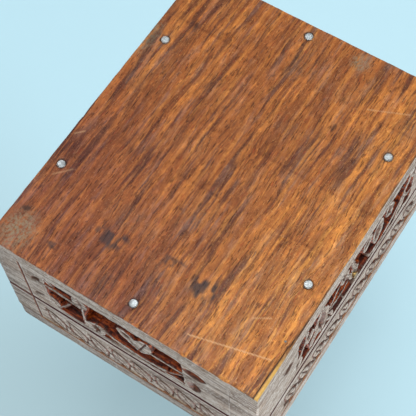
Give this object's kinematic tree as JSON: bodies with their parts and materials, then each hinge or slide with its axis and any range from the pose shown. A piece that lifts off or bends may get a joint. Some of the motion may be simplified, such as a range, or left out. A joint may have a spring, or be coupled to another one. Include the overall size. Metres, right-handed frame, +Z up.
{
  "type": "puzzle box",
  "caption": "Small carved hardwood puzzle box with a nailed base, hinged lid, hidden key drawer in the lid and a swinging leaf over the keyhole.",
  "frame": {"origin": "centre of the bottom board's underside, on the ground", "axes": "+X along the long sides, -Y towards the front with the hidden keyhole, +Z up through the lid"},
  "size_m": [0.125, 0.1035, 0.0666],
  "materials": {
    "carved_wood": "limed and worn",
    "board_wood": "oiled, worn",
    "inner_wood": "sanded",
    "nail_steel": "bright",
    "brass": "dull"
  },
  "bodies": {
    "body": {"bottom_board": "board_wood", "bottom_nails": "nail_steel", "edge_brad": "nail_steel", "front_wall": "carved_wood", "back_wall": "carved_wood", "left_wall": "carved_wood", "right_wall": "carved_wood", "leaf_pin": "nail_steel", "keyhole_plate": "brass", "lock_plate": "brass", "lock_case": "brass", "lock_screws": "nail_steel", "left_hinge_body_leaf": "brass", "right_hinge_body_leaf": "brass", "left_hinge_pin": "nail_steel", "right_hinge_pin": "nail_steel", "hinge_body_screws": "brass"},
    "lid": {"lid_front_rail": "carved_wood", "lid_back_rail": "carved_wood", "lid_right_rail": "carved_wood", "lid_top_board": "carved_wood", "lid_ceiling": "inner_wood", "front_runner": "inner_wood", "back_runner": "inner_wood", "drawer_stop": "inner_wood", "lock_staple": "brass", "staple_screws": "nail_steel", "left_hinge_lid_leaf": "brass", "right_hinge_lid_leaf": "brass", "hinge_lid_screws": "brass"},
    "key_drawer": {"drawer_front": "carved_wood", "drawer_tray": "inner_wood", "drawer_dowels": "inner_wood", "key": "brass"},
    "leaf": {"keyhole_leaf": "carved_wood"},
    "cam": {"lock_cam": "nail_steel"},
    "bolt": {"lock_bolt": "nail_steel"}
  },
  "joints": [
    {"name": "lid_hinge", "type": "hinge", "parent": "body", "child": "lid", "pos_m": [0, 0.05085, 0.0362], "axis": [-1, 0, 0], "range_deg": [0, 110]},
    {"name": "drawer_slide", "type": "slide", "parent": "lid", "child": "key_drawer", "axis": [-1, 0, 0], "range_m": [0, 0.045]},
    {"name": "leaf_swing", "type": "hinge", "parent": "body", "child": "leaf", "pos_m": [0, -0.0496, 0.0286], "axis": [0, 1, 0], "range_deg": [-75, 75]},
    {"name": "lock_turn", "type": "hinge", "parent": "body", "child": "cam", "pos_m": [0, -0.0387, 0.0236], "axis": [0, 1, 0], "range_deg": [0, 90]},
    {"name": "bolt_slide", "type": "slide", "parent": "body", "child": "bolt", "axis": [1, 0, 0], "range_m": [0, 0.005]}
  ],
  "couplings": [
    {"joint": "lock_turn", "follows": "bolt_slide", "rad_per_m": 314.16}
  ]
}
